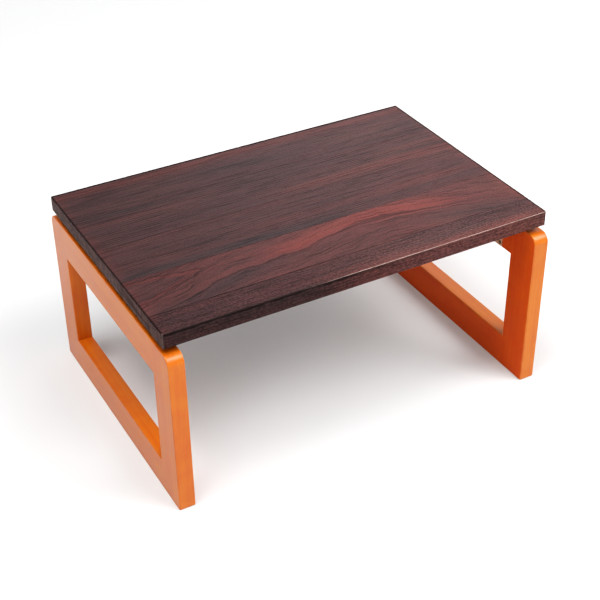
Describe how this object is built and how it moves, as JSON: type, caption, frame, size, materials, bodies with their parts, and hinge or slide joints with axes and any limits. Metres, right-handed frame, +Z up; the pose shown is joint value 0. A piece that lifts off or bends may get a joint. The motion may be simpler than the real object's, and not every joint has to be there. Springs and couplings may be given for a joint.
{
  "type": "folding coffee table",
  "caption": "Low rectangular coffee table: a dark charred wooden top on glossy orange loop-shaped leg frames that fold in flat under it on wide-leaf hinges.",
  "frame": {"origin": "on the floor, under the middle of the tabletop", "axes": "+X along the table's long side, +Y from the front to the rear, +Z up"},
  "size_m": [0.6, 0.42, 0.29],
  "materials": {
    "charred_top": "brushed satin",
    "dark_batten": "matte stain",
    "orange_frame": "gloss lacquer",
    "plain_dowels": "bare",
    "brass_leaves": "satin",
    "hinge_pins": "satin",
    "brass_screws": "satin"
  },
  "bodies": {
    "table": {"front_strip": "charred_top", "front_board": "charred_top", "middle_front_board": "charred_top", "middle_rear_board": "charred_top", "rear_board": "charred_top", "left_batten": "dark_batten", "left_batten_screws": "brass_screws", "left_table_leaf_screws": "brass_screws", "left_front_table_leaf": "brass_leaves", "left_front_hinge_pin": "hinge_pins", "left_rear_table_leaf": "brass_leaves", "left_rear_hinge_pin": "hinge_pins", "right_batten": "dark_batten", "right_batten_screws": "brass_screws", "right_table_leaf_screws": "brass_screws", "right_front_table_leaf": "brass_leaves", "right_front_hinge_pin": "hinge_pins", "right_rear_table_leaf": "brass_leaves", "right_rear_hinge_pin": "hinge_pins"},
    "left_leg": {"left_front_post": "orange_frame", "left_rear_post": "orange_frame", "left_top_rail": "orange_frame", "left_bottom_rail": "orange_frame", "left_frame_dowels": "plain_dowels", "left_front_leg_leaf": "brass_leaves", "left_rear_leg_leaf": "brass_leaves", "left_leg_leaf_screws": "brass_screws"},
    "right_leg": {"right_front_post": "orange_frame", "right_rear_post": "orange_frame", "right_top_rail": "orange_frame", "right_bottom_rail": "orange_frame", "right_frame_dowels": "plain_dowels", "right_front_leg_leaf": "brass_leaves", "right_rear_leg_leaf": "brass_leaves", "right_leg_leaf_screws": "brass_screws"}
  },
  "joints": [
    {"name": "left_leg_fold", "type": "hinge", "parent": "table", "child": "left_leg", "pos_m": [-0.2722, 0, 0.2532], "axis": [0, -1, 0], "range_deg": [0, 90]},
    {"name": "right_leg_fold", "type": "hinge", "parent": "table", "child": "right_leg", "pos_m": [0.2722, 0, 0.2532], "axis": [0, 1, 0], "range_deg": [0, 90]}
  ]
}
